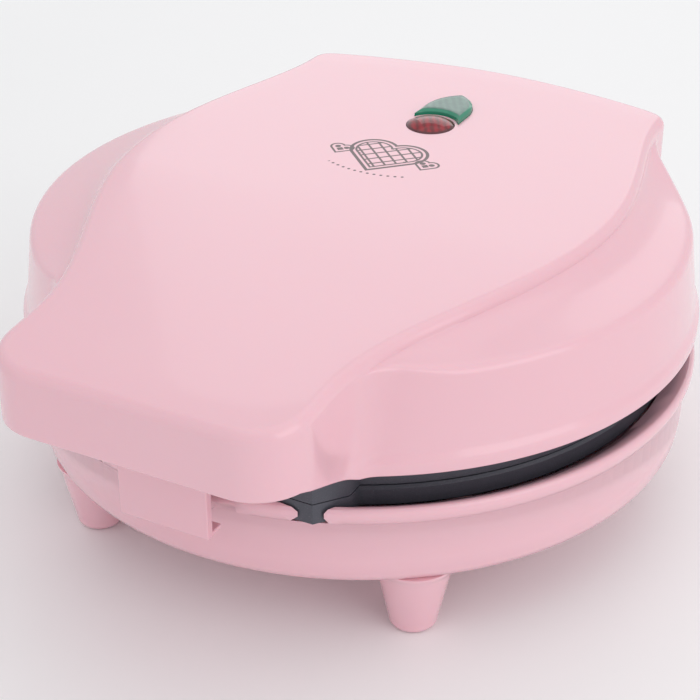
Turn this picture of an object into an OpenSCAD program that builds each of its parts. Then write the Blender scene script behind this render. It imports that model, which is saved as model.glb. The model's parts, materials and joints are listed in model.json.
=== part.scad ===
// Round waffle maker with a hinged lid, a wide front handle and a sprung latch.
// Millimetres. +Z is up, the handle faces -Y and the hinge is at +Y.
// The origin is on the resting surface, below the middle of the whole footprint.

/* [Body] */
// Diameter of the round body at its two rims
body_d = 220; // [185:1:270]
// Thickness of the moulded walls
wall = 2.5; // [2:0.1:3]
// Height of the base from its floor to its rim
base_h = 28; // [26:0.5:40]
// Height of the open band between the base rim and the lid rim
band_h = 11; // [9:0.5:14]
// Height of the lid wall, from the rim to the shoulder crease
lid_wall_h = 30; // [25:0.5:45]
// Rise of the shoulder, from the crease to the flat top
shoulder_h = 11; // [8:0.5:15]

/* [Feet] */
// Height of each foot
foot_h = 24; // [12:0.5:35]
// Diameter of a foot at its top
foot_top_d = 25; // [20:0.5:30]
// Diameter of a foot at its bottom
foot_bottom_d = 15; // [11:0.5:19]
// Distance between the feet from left to right
foot_span_x = 114; // [90:1:125]
// Distance between the feet from front to back
foot_span_y = 150; // [110:1:152]

/* [Top and handle] */
// Width of the handle
handle_w = 98; // [92:1:125]
// How far the handle stands out past the round body
handle_reach = 28; // [26:1:40]
// How far the top falls from its flat part to the front of the handle
handle_drop = 9; // [1:0.5:12]
// Thickness of the handle
handle_t = 21; // [20:0.5:26]
// Corner radius of the handle, seen from above
handle_corner_r = 17; // [8:0.5:20]
// Width of the flat top at its widest place
top_w = 166; // [145:1:180]
// Width of the flat top at the two rear corners
hip_w = 138; // [118:1:142]

/* [Plates] */
// Width of the ledge between the body rim and the baking plates
ledge_w = 9; // [7:0.5:14]
// Height of the flange around each plate
flange_h = 6.5; // [5:0.5:8]
// Width of the flat land around the baking hollow
land_w = 15; // [13:0.5:20]
// Depth of the hollow between the hearts
web_depth = 3; // [2.5:0.1:4]
// Depth of the heart hollows
heart_depth = 7; // [5:0.1:8]
// Side of the square that each heart is drawn around
heart_side = 42; // [34:0.5:44]
// Distance between the grid studs in a heart
stud_pitch = 13; // [11:0.5:16]
// Side of a grid stud
stud_side = 6.5; // [4:0.5:8]

/* [Heating] */
// Diameter of the tubular heating element
element_d = 6.6; // [5:0.1:8]
// Radius of the element ring
element_r = 62; // [50:1:66]
// Thickness of the sheet metal
sheet_t = 0.6; // [0.5:0.1:1]

/* [Hinge] */
// Diameter of the steel hinge pin
hinge_pin_d = 5; // [4:0.5:6.5]
// Outer diameter of the hinge barrels
barrel_d = 14; // [12:0.5:15]
// Width of the base barrel, between the lid lugs
barrel_w = 61; // [44:1:70]
// Width of one lid lug
lug_w = 13; // [9:0.5:18]

/* [Latch] */
// Width of the latch
latch_w = 29.6; // [22:0.2:36]
// Thickness of the latch tab
latch_t = 2.7; // [2.2:0.1:3.5]
// Diameter of the latch pin
latch_pin_d = 3; // [2.5:0.1:4]

/* [Lamps] */
// Diameter of the round lamp lens
lens_d = 16.4; // [12:0.2:18]
// Distance of the round lens behind the centre of the body
lens_y = 51; // [40:1:56]
// Width of the shield-shaped lens
shield_w = 16.6; // [14:0.2:18]
// Length of the pointed end of the shield-shaped lens
shield_l = 14; // [11:0.5:16]

/* [Hidden] */
$fn = 64;

eps = 0.01;
fit_gap = 0.3;          // between pieces that move past each other
run_gap = 0.05;         // radial play of a pin that turns
seat_gap = 0.15;        // around pieces that drop into a pocket

// Heights
z_base = foot_h;
z_base_rim = z_base + base_h;
z_part = z_base_rim + 2;
z_lid = z_base_rim + band_h;
z_crease = z_lid + lid_wall_h;
z_top = z_crease + shoulder_h;
z_floor = z_base + wall;

// Radii of the round body
body_r = body_d / 2;
wall_r = body_r - 2.5;
crease_r = body_r - 4.4;
shoulder_r = top_w / 2 - 8;
shoulder_drop = 1.5;
plate_r = body_r - ledge_w;
hollow_r = plate_r - land_w;

// Plan of the flat top and handle
front_y = -(body_r + handle_reach);
waist_y = -(body_r + 2);
widest_y = 8;
hip_y = body_r - 18;
back_y = body_r;
z_handle = z_top - handle_drop - handle_t;
bend_y = -20;
slope_front_y = front_y + 12;
slope_back_y = -(body_r - 12);
cover_t = 2;
cover_screw_y = front_y + 7;

// Plates
plate_gap = fit_gap;
plate_top = z_part - plate_gap / 2;
plate_t = heart_depth + 4;
plate_low = plate_top - plate_t;
flange_low = plate_top - flange_h;
tongue_w = 92;
tongue_reach = 3;
tongue_chamfer = 9;
heart_tip = 14;
plate_screw_r = plate_r - 6.5;
plate_screw_d = 3.4;
boss_d = 9;
inner_r = plate_screw_r - boss_d / 2 - 0.5;
screw_head_d = 6.6;
screw_head_h = 2.2;

// Heating
element_sink = 0.5;
element_z = plate_low - element_d / 2 + element_sink;
seat_h = 3.4;
seat_w = 12;
element_gap_deg = 24;
leg_x = element_r * sin(element_gap_deg);
leg_end_y = element_r + 16;
clamp_angles = [0, 180, 270];
clamp_l = 30;
clamp_w = 12;
clamp_t = 1.5;
clamp_screw_r = element_r - 8.5;
reflector_r = plate_r - 15;
lead_y = reflector_r + 1.8;
block_y = reflector_r + 3.5;
reflector_z = plate_low - 12.9;
reflector_boss_r = element_r + 14;
reflector_angles = [30, 150, 240];

// Hinge
hinge_y = back_y + barrel_d / 2 + 1;
hinge_z = z_lid - 1;
lug_x = barrel_w / 2 + 0.5;

// Latch
tab_y = -(body_r + 11);
latch_y = tab_y - 1;
latch_z = z_handle + 5;
tab_low = z_base_rim - 7.7;
latch_barrel_d = 9;
slot_gap = 0.8;
toe_t = 1.7;
catch_out = 3.2;
latch_boss_x = latch_w / 2 + 7.5;
latch_boss_w = 5;

// Lamps
shield_y = lens_y + 13;
lens_gap = 1.3;
lens_flange = 1;
lens_seat_t = 1.2;
board_z = z_top - 12;
board_t = 1.6;

// Cord inlet
gland_d = 13;
gland_bore_d = 7.4;
gland_z = z_base + 13;
web_back_y = hinge_y + barrel_d / 2;

// The footprint runs from the handle to the collar of the cord gland
gland_collar_t = 1.6;
middle_y = -(front_y + web_back_y + gland_collar_t) / 2;

pink = [0.95, 0.74, 0.78];
dark = [0.22, 0.24, 0.28];
steel = [0.72, 0.73, 0.75];
alu = [0.80, 0.81, 0.83];

// ---------------------------------------------------------------- helpers
function bez(p, n) = [for (i = [1:n]) let (t = i / n, u = 1 - t)
    u * u * u * p[0] + 3 * u * u * t * p[1] + 3 * u * t * t * p[2] + t * t * t * p[3]];

// Right half of the flat top, drawn inwards by d: front corner, neck, side, rear corner, back edge
function topHalf(d) =
    let (w = handle_w / 2 - d, f = front_y + d, r = max(handle_corner_r - d, 1),
        m = top_w / 2 - d, h = hip_w / 2 - d, b = back_y - d, y = hip_y - d)
    concat(
        [for (i = [0:10]) let (a = -90 + i * 9) [w - r + r * cos(a), f + r + r * sin(a)]],
        bez([[w, waist_y], [w, waist_y + 38], [m, widest_y - 55], [m, widest_y]], 12),
        bez([[m, widest_y], [m, widest_y + 34], [h, y - 24], [h, y]], 9),
        bez([[h, y], [h, y + 4.5], [h - 2.5, y + 6.8], [h - 7, y + 8.2]], 4),
        bez([[h - 7, y + 8.2], [h - 22, y + 13], [20, b], [0, b]], 6));

function topOutline(d) = let (h = topHalf(d), n = len(h))
    concat([for (i = [0:n - 1]) h[i]], [for (i = [n - 2:-1:0]) [-h[i][0], h[i][1]]]);

module topPrism(d, z0, z1) {
    translate([0, 0, z0]) linear_extrude(z1 - z0) polygon(topOutline(d));
}

// Height of the top line, flat behind bend_y and falling to the front of the handle
function topLine(y) = z_top - handle_drop * pow(max(0, (bend_y - y) / (bend_y - front_y)), 1.5);

// Everything below the top line lowered by d
module belowTop(d) {
    alongX(concat([[front_y - 5, z_lid - 2], [back_y + 9, z_lid - 2], [back_y + 9, z_top - d]],
        [for (i = [0:10]) let (y = bend_y + (front_y - 5 - bend_y) * i / 10) [y, topLine(y) - d]]),
        -body_r, body_r);
}

// The top outline drawn inwards by d, up to the top line lowered by e
module topLayer(d, e) {
    intersection() {
        topPrism(d, z_lid - 1, z_top + 1);
        belowTop(e);
    }
}

// A solid with the outline (y, z), from x0 to x1
module alongX(points, x0, x1) {
    translate([x0, 0, 0]) rotate([90, 0, 90]) linear_extrude(x1 - x0) polygon(points);
}

module pinX(r, x0, x1, y, z) {
    translate([x0, y, z]) rotate([0, 90, 0]) cylinder(r = r, h = x1 - x0);
}

// The lid side repeats the base side, turned over at the parting plane
module turnedOver() {
    translate([0, 0, 2 * z_part]) mirror([0, 0, 1]) children();
}

// Every node is drawn about the axis of the round body and then set in its place
module place() {
    translate([0, middle_y, 0]) children();
}

module around(r, angles) {
    for (a = angles) rotate([0, 0, a]) translate([r, 0, 0]) children();
}

corner_angles = [45, 135, 225, 315];

// A straight wire from point to point with round elbows
module wire(points, r) {
    for (i = [0:len(points) - 2]) {
        v = points[i + 1] - points[i];
        l = norm(v);
        translate(points[i]) rotate([0, acos(v[2] / l), atan2(v[1], v[0])])
            cylinder(r = r, h = l, $fn = 24);
        if (i > 0) translate(points[i]) rotate([25, 0, 40]) sphere(r = r * 1.4, $fn = 24);
    }
}

module screwUp(shank_l, r) {
    cylinder(d = screw_head_d, h = screw_head_h);
    translate([0, 0, screw_head_h - eps]) cylinder(r = r, h = shank_l + eps);
}

// ---------------------------------------------------------------- base
module base_housing() {
    ledge_r = plate_r + 0.7;
    post_top = flange_low;
    color(pink) difference() {
        union() {
            rotate_extrude($fn = 160) polygon([
                [0, z_base], [wall_r - 3, z_base], [wall_r - 1.6, z_base + 0.8],
                [wall_r - 0.6, z_base + 3], [wall_r, z_base + 8], [wall_r, z_base_rim - 6.2],
                [body_r - 0.8, z_base_rim - 5.4], [body_r, z_base_rim - 3], [body_r, z_base_rim - 1.4],
                [body_r - 0.6, z_base_rim - 0.3], [body_r - 1.6, z_base_rim],
                [ledge_r, z_base_rim - 4], [ledge_r, z_base_rim - 6.5],
                [wall_r - wall, z_base_rim - 8], [wall_r - wall, z_base + 9],
                [wall_r - wall - 1, z_floor], [0, z_floor]]);
            // posts under the plate flange
            around(plate_screw_r, corner_angles)
                translate([0, 0, z_base + eps]) cylinder(d = boss_d, h = post_top - z_base - eps);
            // hinge barrel and the web that carries it and the cord inlet
            pinX(barrel_d / 2, -barrel_w / 2, barrel_w / 2, hinge_y, hinge_z);
            alongX([[body_r - 6, z_base + 3], [web_back_y - 3, z_base + 5], [web_back_y, z_base + 9],
                [web_back_y, hinge_z], [hinge_y - barrel_d / 2, hinge_z],
                [hinge_y - barrel_d / 2, z_base_rim - 2], [body_r - 6, z_base_rim - 2]],
                -barrel_w / 2, barrel_w / 2);
            // nose that the latch toe snaps under
            alongX([[-body_r + 4, z_base_rim - 6], [-body_r - catch_out + 0.8, z_base_rim - 5.4],
                [-body_r - catch_out, z_base_rim - 4], [-body_r - catch_out + 1, z_base_rim - 2.6],
                [-body_r + 4, z_base_rim - 2]], -9, 9);
            // sockets that the feet push into
            for (x = [-1, 1], y = [-1, 1]) translate([x * foot_span_x / 2, y * foot_span_y / 2, z_base + eps])
                cylinder(d = 14, h = wall + 5 - eps);
        }
        // hinge bore, tight on the pin
        pinX(hinge_pin_d / 2, -barrel_w, barrel_w, hinge_y, hinge_z);
        // cord inlet
        translate([0, body_r - 20, gland_z]) rotate([-90, 0, 0]) cylinder(d = gland_d, h = 60);
        // screw cores of the posts
        around(plate_screw_r, corner_angles)
            translate([0, 0, z_floor]) cylinder(d = plate_screw_d, h = base_h);
        // foot stems and their screws
        for (x = [-1, 1], y = [-1, 1]) translate([x * foot_span_x / 2, y * foot_span_y / 2, z_base - 1]) {
            cylinder(d = 8.2, h = 5);
            cylinder(d = 3.4, h = 20);
        }
        // cooling slots in the floor
        for (i = [-3:3]) translate([i * 9 - 1.5, -22, z_base - 1]) cube([3, 44, wall + 2]);
        // room for the tongue of the lower plate
        translate([0, 0, flange_low - 0.5]) linear_extrude(base_h) tonguePlan(0.5);
        // shallow pocket behind the latch tab
        difference() {
            translate([-latch_w / 2 - 1.5, -body_r - 4, z_base_rim - 12]) cube([latch_w + 3, 6, 9]);
            translate([-9, -body_r - 5, z_base_rim - 6.2]) cube([18, 12, 4.4]);
        }
    }
}

module foot() {
    top_r = foot_top_d / 2;
    low_r = foot_bottom_d / 2;
    color(pink) difference() {
        union() {
            rotate_extrude($fn = 48) polygon(concat([[0, 0]],
                [for (i = [0:4]) let (a = -90 + i * 18) [low_r - 2.5 + 2.5 * cos(a), 2.5 + 2.5 * sin(a)]],
                [[top_r - 1.2, foot_h - 3], [top_r, foot_h], [0, foot_h]]));
            translate([0, 0, foot_h - eps]) cylinder(d = 8, h = 3.9);
        }
        translate([0, 0, foot_h - 9]) cylinder(d = 2.9, h = 20);
    }
}

module footAt(x, y) {
    translate([x * foot_span_x / 2, y * foot_span_y / 2, 0]) foot();
}

module foot_screws() {
    color(steel) for (x = [-1, 1], y = [-1, 1])
        translate([x * foot_span_x / 2, y * foot_span_y / 2, z_base + wall + 5 + screw_head_h])
            mirror([0, 0, 1]) screwUp(12, 1.4);
}

module cord_gland() {
    y_in = body_r - 6;
    color([0.1, 0.1, 0.11]) translate([0, y_in, gland_z]) rotate([-90, 0, 0]) difference() {
        union() {
            cylinder(d = gland_d - 0.1, h = web_back_y - y_in);
            translate([0, 0, web_back_y - y_in]) cylinder(d = gland_d + 4, h = gland_collar_t);
        }
        translate([0, 0, -1]) cylinder(d = gland_bore_d, h = 60);
    }
}

// ---------------------------------------------------------------- plates
// Plan of one heart, tip at the origin, round end towards +X: two straight sides and two half circles
function heartLobe(side, s, from, to) = [for (i = [0:9]) let (a = from + (to - from) * i / 9)
    [side * 0.75 * sqrt(2) + side / 2 * cos(a), s * side * 0.25 * sqrt(2) + side / 2 * sin(a)]];

module heartPlan(side) {
    polygon(concat([[0, 0]], heartLobe(side, -1, -135, 45), [for (p = heartLobe(side, 1, -45, 135))
        if (p[1] > 0.01) p]));
}

// True where a stud of half width m keeps clear of the wall of a heart
function inHeart(x, y, side, m) =
    let (u = (x + y) / sqrt(2), v = (x - y) / sqrt(2), a = side * 0.75 * sqrt(2),
        b = side * 0.25 * sqrt(2))
    (u > m && u < side && v > m && v < side)
        || norm([x - a, y - b]) < side / 2 - m || norm([x - a, y + b]) < side / 2 - m;

module studs(side) {
    for (i = [0:6], j = [-3:3]) let (x = 14 + i * stud_pitch, y = j * stud_pitch)
        if (inHeart(x, y, side, stud_side / 2 + 2.5))
            translate([x - stud_side / 2, y - stud_side / 2, plate_top - heart_depth - eps])
                cube([stud_side, stud_side, heart_depth - web_depth + eps]);
}

// Plan of the tongue at the front of each plate, grown by e
module tonguePlan(e) {
    f = -(plate_r + tongue_reach) - e;
    w = tongue_w / 2 + e;
    polygon([[-w, 30 - plate_r], [-w, f + tongue_chamfer], [-w + tongue_chamfer * 0.8, f],
        [w - tongue_chamfer * 0.8, f], [w, f + tongue_chamfer], [w, 30 - plate_r]]);
}

module plate() {
    color(dark) difference() {
        union() {
            difference() {
                union() {
                    rotate_extrude($fn = 144) polygon([
                        [0, plate_low], [inner_r, plate_low], [inner_r, flange_low],
                        [plate_r - 0.6, flange_low], [plate_r, flange_low + 0.6],
                        [plate_r, plate_top - 0.8], [plate_r - 0.8, plate_top], [0, plate_top]]);
                    translate([0, 0, flange_low]) linear_extrude(flange_h) tonguePlan(0);
                }
                rotate_extrude($fn = 144) polygon([
                    [0, plate_top - web_depth], [hollow_r - 1.5, plate_top - web_depth],
                    [hollow_r, plate_top + 1], [0, plate_top + 1]]);
                for (k = [0:4]) rotate([0, 0, 90 + k * 72]) translate([heart_tip, 0, plate_top - heart_depth])
                    linear_extrude(heart_depth) heartPlan(heart_side);
            }
            for (k = [0:4]) rotate([0, 0, 90 + k * 72]) translate([heart_tip, 0, 0]) studs(heart_side);
            // seat of the element, clamp bosses and reflector bosses on the back
            rotate_extrude($fn = 96) translate([element_r - seat_w / 2, plate_low - seat_h])
                square([seat_w, seat_h + 1]);
            around(clamp_screw_r, clamp_angles) translate([0, 0, element_z - element_d / 2])
                cylinder(d = 8, h = plate_low - element_z + element_d / 2 + 1);
            around(reflector_boss_r, reflector_angles) translate([0, 0, reflector_z + sheet_t])
                cylinder(d = boss_d, h = plate_low - reflector_z - sheet_t + 1);
        }
        rotate_extrude($fn = 96) translate([element_r, element_z]) circle(r = element_d / 2 + 0.03);
        translate([-leg_x - 6, element_r * cos(element_gap_deg) - 6, plate_low - seat_h - 1])
            cube([2 * leg_x + 12, leg_end_y - element_r * cos(element_gap_deg) + 9,
                seat_h + 1 + element_sink + 0.8]);
        around(clamp_screw_r, clamp_angles) translate([0, 0, element_z - element_d / 2 - 1])
            cylinder(d = 3, h = 8);
        around(reflector_boss_r, reflector_angles) translate([0, 0, reflector_z])
            cylinder(d = 3, h = 9);
        // countersunk holes for the plate screws
        around(plate_screw_r, corner_angles) {
            translate([0, 0, flange_low - 1]) cylinder(d = plate_screw_d + 0.8, h = flange_h + 2);
            translate([0, 0, plate_top - screw_head_h])
                cylinder(d1 = plate_screw_d + 0.8, d2 = screw_head_d + 0.4, h = screw_head_h + 0.02);
        }
    }
}

module plate_screws() {
    color(steel) around(plate_screw_r, corner_angles) {
        translate([0, 0, plate_top - screw_head_h - 0.2])
            cylinder(d1 = plate_screw_d, d2 = screw_head_d, h = screw_head_h);
        translate([0, 0, flange_low - 9]) cylinder(d = plate_screw_d - 0.1, h = flange_h + 7);
    }
}

// ---------------------------------------------------------------- heating
module element() {
    color([0.45, 0.45, 0.47]) {
        rotate([0, 0, 90 + element_gap_deg]) rotate_extrude(angle = 360 - 2 * element_gap_deg, $fn = 96)
            translate([element_r, element_z]) circle(d = element_d, $fn = 24);
        for (s = [-1, 1]) translate([s * leg_x, element_r * cos(element_gap_deg), element_z]) {
            sphere(d = element_d + 0.6, $fn = 24);
            rotate([-90, 0, 0]) cylinder(d = element_d, h = 14, $fn = 24);
            rotate([-90, 0, 0]) cylinder(d = 3, h = leg_end_y - element_r * cos(element_gap_deg), $fn = 24);
        }
    }
}

module element_clamps() {
    z = element_z - element_d / 2 - clamp_t;
    color(steel) around(element_r, clamp_angles) difference() {
        translate([-clamp_l / 2, -clamp_w / 2, z]) cube([clamp_l, clamp_w, clamp_t]);
        translate([clamp_screw_r - element_r, 0, z - 1]) cylinder(d = 3.4, h = 4);
    }
}

module clamp_screws() {
    z = element_z - element_d / 2 - clamp_t - screw_head_h;
    color(steel) around(clamp_screw_r, clamp_angles) translate([0, 0, z]) screwUp(clamp_t + 5, 1.45);
}

module reflector() {
    h = plate_low - 0.4 - reflector_z;
    color(alu) difference() {
        rotate_extrude($fn = 120) polygon([
            [0, reflector_z], [reflector_r, reflector_z], [reflector_r, reflector_z + h],
            [reflector_r - sheet_t, reflector_z + h], [reflector_r - sheet_t, reflector_z + sheet_t],
            [0, reflector_z + sheet_t]]);
        around(reflector_boss_r, reflector_angles) translate([0, 0, reflector_z - 1])
            cylinder(d = 3.4, h = 4);
        translate([-leg_x - 5, reflector_r - 14, reflector_z + 4]) cube([2 * leg_x + 10, 20, 20]);
    }
}

module reflector_screws() {
    color(steel) around(reflector_boss_r, reflector_angles)
        translate([0, 0, reflector_z - screw_head_h]) screwUp(sheet_t + 7, 1.45);
}

module terminal_block() {
    y1 = wall_r - wall - 3;
    color([0.92, 0.91, 0.86]) difference() {
        translate([-16, block_y, z_floor]) cube([32, y1 - block_y, 5]);
        for (x = [-10, 0, 10]) translate([x, block_y - 1, z_floor + 2.6]) rotate([-90, 0, 0])
            cylinder(d = 3, h = 40, $fn = 24);
    }
}

// Leads from the terminal block up to the two ends of the element
module base_leads() {
    color([0.75, 0.2, 0.18]) for (s = [-1, 1]) wire([
        [s * 10, block_y + 1, z_floor + 2.6], [s * 10, lead_y, z_floor + 2.6],
        [s * 17, lead_y, z_floor + 8], [s * leg_x, lead_y, element_z],
        [s * leg_x, leg_end_y + 0.1, element_z]], 1.1);
}

module hinge_pin() {
    color(steel) pinX(hinge_pin_d / 2, -lug_x - lug_w, lug_x + lug_w, hinge_y, hinge_z);
}

// ---------------------------------------------------------------- lid
// Underside line of the handle, (y, z) from the rim outwards
underside = [[slope_back_y, z_lid], [slope_front_y, z_handle], [front_y - 5, z_handle]];

module lidOuter() {
    intersection() {
        rotate_extrude($fn = 160) polygon([
            [0, z_lid], [body_r - 0.8, z_lid], [body_r, z_lid + 0.8], [body_r, z_lid + 3],
            [body_r - 1.6, z_lid + 6.5], [crease_r, z_crease], [shoulder_r, z_top - shoulder_drop],
            [0, z_top - shoulder_drop]]);
        belowTop(shoulder_drop - 0.3);
    }
    difference() {
        union() {
            topLayer(0, 2.4);
            topLayer(0.7, 1);
            topLayer(2, 0);
        }
        alongX([[back_y + 5, z_lid - 3], [back_y + 5, z_lid], underside[0], underside[1], underside[2],
            [front_y - 5, z_lid - 3]], -body_r, body_r);
    }
}

module lid_cover() {
    color(pink) difference() {
        union() {
            difference() {
                lidOuter();
                intersection() {
                    rotate_extrude($fn = 160) polygon([
                        [0, z_lid - 1], [body_r - wall, z_lid - 1], [body_r - wall - 1.6, z_lid + 6.5],
                        [crease_r - wall, z_crease - 1], [shoulder_r, z_top - shoulder_drop - wall],
                        [0, z_top - shoulder_drop - wall]]);
                    belowTop(shoulder_drop - 0.3 + wall);
                }
                difference() {
                    topLayer(wall, wall);
                    // webs that carry the hinge lugs inside the back wall
                    for (s = [-1, 1]) translate([s * (lug_x + lug_w / 2) - lug_w / 2, back_y - 14, z_lid - 1])
                        cube([lug_w, 40, 7]);
                }
            }
            intersection() {
                lidOuter();
                union() {
                    // posts for the plate screws
                    around(plate_screw_r, corner_angles)
                        translate([0, 0, 2 * z_part - flange_low]) cylinder(d = boss_d, h = 60);
                    // posts for the handle cover screws
                    for (s = [-1, 1]) translate([s * (handle_w / 2 - 16), cover_screw_y, z_handle + cover_t])
                        cylinder(d = 8, h = handle_t - cover_t - 0.5);
                    // bosses that hold the latch pin
                    for (s = [-1, 1]) translate([s * latch_boss_x - latch_boss_w / 2, latch_y - 4, latch_z - 2.8])
                        cube([latch_boss_w, 8, z_top - latch_z + 3]);
                    // pegs for the lamp board
                    for (x = [-12, 12], y = [lens_y - 12, lens_y + 30]) translate([x, y, board_z + board_t])
                        cylinder(d = 5, h = z_top - board_z - board_t - 0.5);
                }
            }
            for (s = [-1, 1]) {
                x0 = s * (lug_x + lug_w / 2) - lug_w / 2;
                pinX(barrel_d / 2, x0, x0 + lug_w, hinge_y, hinge_z);
                translate([x0, back_y - 12, z_lid]) cube([lug_w, hinge_y - back_y + 12, 6]);
            }
        }
        // hinge bores, free on the pin
        pinX(hinge_pin_d / 2 + run_gap, -body_r, body_r, hinge_y, hinge_z);
        // cores of the plate posts
        around(plate_screw_r, corner_angles)
            translate([0, 0, 2 * z_part - flange_low - 1]) cylinder(d = plate_screw_d, h = 11);
        for (s = [-1, 1]) translate([s * (handle_w / 2 - 16), cover_screw_y, z_handle])
            cylinder(d = 3, h = 14);
        // latch pin bores
        pinX(latch_pin_d / 2, -latch_boss_x - 6, latch_boss_x + 6, latch_y, latch_z);
        // lens holes
        translate([0, lens_y, z_top - 5]) cylinder(d = lens_d + 2 * seat_gap, h = 8);
        translate([0, 0, z_top - 5]) linear_extrude(8) shieldPlan(seat_gap, seat_gap);
    }
}

module handle_cover() {
    d = wall + seat_gap;
    back = -(body_r - 8);
    slope = (z_handle - z_lid) / (slope_front_y - slope_back_y);
    slot_front_y = latch_y - latch_barrel_d / 2 - slot_gap;
    slot_back_y = tab_y + latch_t + slot_gap;
    z_back = z_lid + (back - slope_back_y) * slope;
    color(pink) difference() {
        intersection() {
            topPrism(d, z_lid - 1, z_top);
            alongX([[back, z_back], [slope_front_y, z_handle], [front_y, z_handle],
                [front_y, z_handle + cover_t], [slope_front_y, z_handle + cover_t], [back, z_back + cover_t]],
                -body_r, body_r);
        }
        translate([-latch_w / 2 - slot_gap, slot_front_y, z_lid])
            cube([latch_w + 2 * slot_gap, slot_back_y - slot_front_y, handle_t + 30]);
        for (s = [-1, 1]) translate([s * (handle_w / 2 - 16), cover_screw_y, z_handle - 1])
            cylinder(d = 3.6, h = 10);
    }
}

module handle_cover_screws() {
    color(steel) for (s = [-1, 1])
        translate([s * (handle_w / 2 - 16), cover_screw_y, z_handle - screw_head_h])
            screwUp(cover_t + 9, 1.45);
}

module thermostat() {
    z = 2 * z_part - plate_low;
    color([0.85, 0.84, 0.8]) {
        translate([0, 0, z]) cylinder(d = 22, h = 5, $fn = 48);
        translate([0, 0, z]) cylinder(d = 14, h = 8, $fn = 48);
        for (s = [-1, 1]) translate([s * 9 - 0.4, -3, z]) cube([0.8, 6, 9.5]);
    }
}

module thermal_fuse() {
    z = 2 * z_part - plate_low;
    color([0.8, 0.78, 0.7]) {
        translate([-12, -32, z + 2.4]) rotate([0, 90, 0]) cylinder(d = 4.8, h = 24, $fn = 32);
        translate([-4, -38, z]) cube([8, 12, 1]);
        translate([-4, -35, z]) cube([8, 1, 5.6]);
        translate([-4, -30, z]) cube([8, 1, 5.6]);
    }
}

// Plan of the shield-shaped lens: grown by e, and by c on its hollow front edge
module shieldPlan(e, c) {
    w = shield_w / 2 + e;
    l = shield_l + e;
    arch_r = (l * l + w * w) / (2 * w);
    difference() {
        union() {
            translate([-w, lens_y]) square([2 * w, shield_y - lens_y]);
            intersection() {
                translate([w - arch_r, shield_y]) circle(r = arch_r);
                translate([arch_r - w, shield_y]) circle(r = arch_r);
                translate([-w, shield_y - 0.1]) square([2 * w, l + 1]);
            }
        }
        translate([0, lens_y]) circle(r = lens_d / 2 + lens_gap - c);
    }
}

module power_lens() {
    r = lens_d / 2;
    dome = 2.4;
    sphere_r = (r * r + dome * dome) / (2 * dome);
    color([0.65, 0.03, 0.06]) translate([0, lens_y, 0]) rotate_extrude($fn = 64) polygon(concat(
        [[0, z_top - wall - lens_seat_t], [r + lens_flange, z_top - wall - lens_seat_t],
            [r + lens_flange, z_top - wall], [r, z_top - wall], [r, z_top]],
        [for (i = [1:6]) let (x = r * (1 - i / 6)) [x, z_top + sqrt(sphere_r * sphere_r - x * x) - sphere_r + dome]]));
}

module ready_lens() {
    color([0.05, 0.5, 0.35]) {
        translate([0, 0, z_top - wall - lens_seat_t]) linear_extrude(lens_seat_t) shieldPlan(lens_flange, 0);
        translate([0, 0, z_top - wall - eps]) linear_extrude(wall + 1) shieldPlan(0, 0);
        translate([0, 0, z_top + 1 - 2 * eps]) linear_extrude(0.9) shieldPlan(-1.2, -1);
    }
}

module lampAt(y) {
    color([0.9, 0.6, 0.4]) translate([0, y, board_z + board_t]) {
        cylinder(d = 5, h = 5, $fn = 32);
        cylinder(d = 6, h = 1, $fn = 32);
    }
}

module lamp_board() {
    color([0.2, 0.45, 0.25]) difference() {
        translate([-15, lens_y - 15, board_z]) cube([30, 48, board_t]);
        translate([-20, lens_y + 9, board_z - 1]) cube([8, 4, board_t + 2]);
    }
}

module lid_leads() {
    z = 2 * z_part - element_z;
    color([0.75, 0.2, 0.18]) for (s = [-1, 1]) wire([
        [s * leg_x, leg_end_y + 0.1, z], [s * leg_x, lead_y, z],
        [s * 14, lead_y, board_z - 8], [s * 9, lens_y + 20, board_z - 4],
        [s * 9, lens_y + 20, board_z]], 1.1);
}

module latch_pin() {
    color(steel) pinX(latch_pin_d / 2, -latch_boss_x - 2.5, latch_boss_x + 2.5, latch_y, latch_z);
}

module latch_spring() {
    coil_r = 3.2;
    wire_r = 0.4;
    x0 = latch_w / 2 + 1;
    color(steel) {
        for (i = [0:3]) translate([x0 + i * 0.95, latch_y, latch_z]) rotate([0, 90, 0])
            rotate_extrude($fn = 32) translate([coil_r, 0]) circle(r = wire_r + 0.1, $fn = 16);
        translate([x0, latch_y + coil_r, latch_z]) cylinder(r = wire_r, h = 9, $fn = 16);
        translate([x0 + 2.85, latch_y - coil_r, latch_z]) cylinder(r = wire_r, h = 9, $fn = 16);
    }
}

// ---------------------------------------------------------------- latch
module latch() {
    y_in = tab_y + latch_t;
    toe_y = -(body_r + catch_out + 0.6);
    color(pink) difference() {
        union() {
            pinX(latch_barrel_d / 2, -latch_w / 2, latch_w / 2, latch_y, latch_z);
            alongX([[tab_y, latch_z], [tab_y, tab_low + 0.5], [tab_y + 0.5, tab_low],
                [toe_y - 0.8, tab_low], [toe_y, tab_low + 0.6], [toe_y, tab_low + toe_t],
                [y_in, tab_low + toe_t], [y_in, latch_z]], -latch_w / 2, latch_w / 2);
        }
        pinX(latch_pin_d / 2 + run_gap, -latch_w, latch_w, latch_y, latch_z);
    }
}

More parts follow.
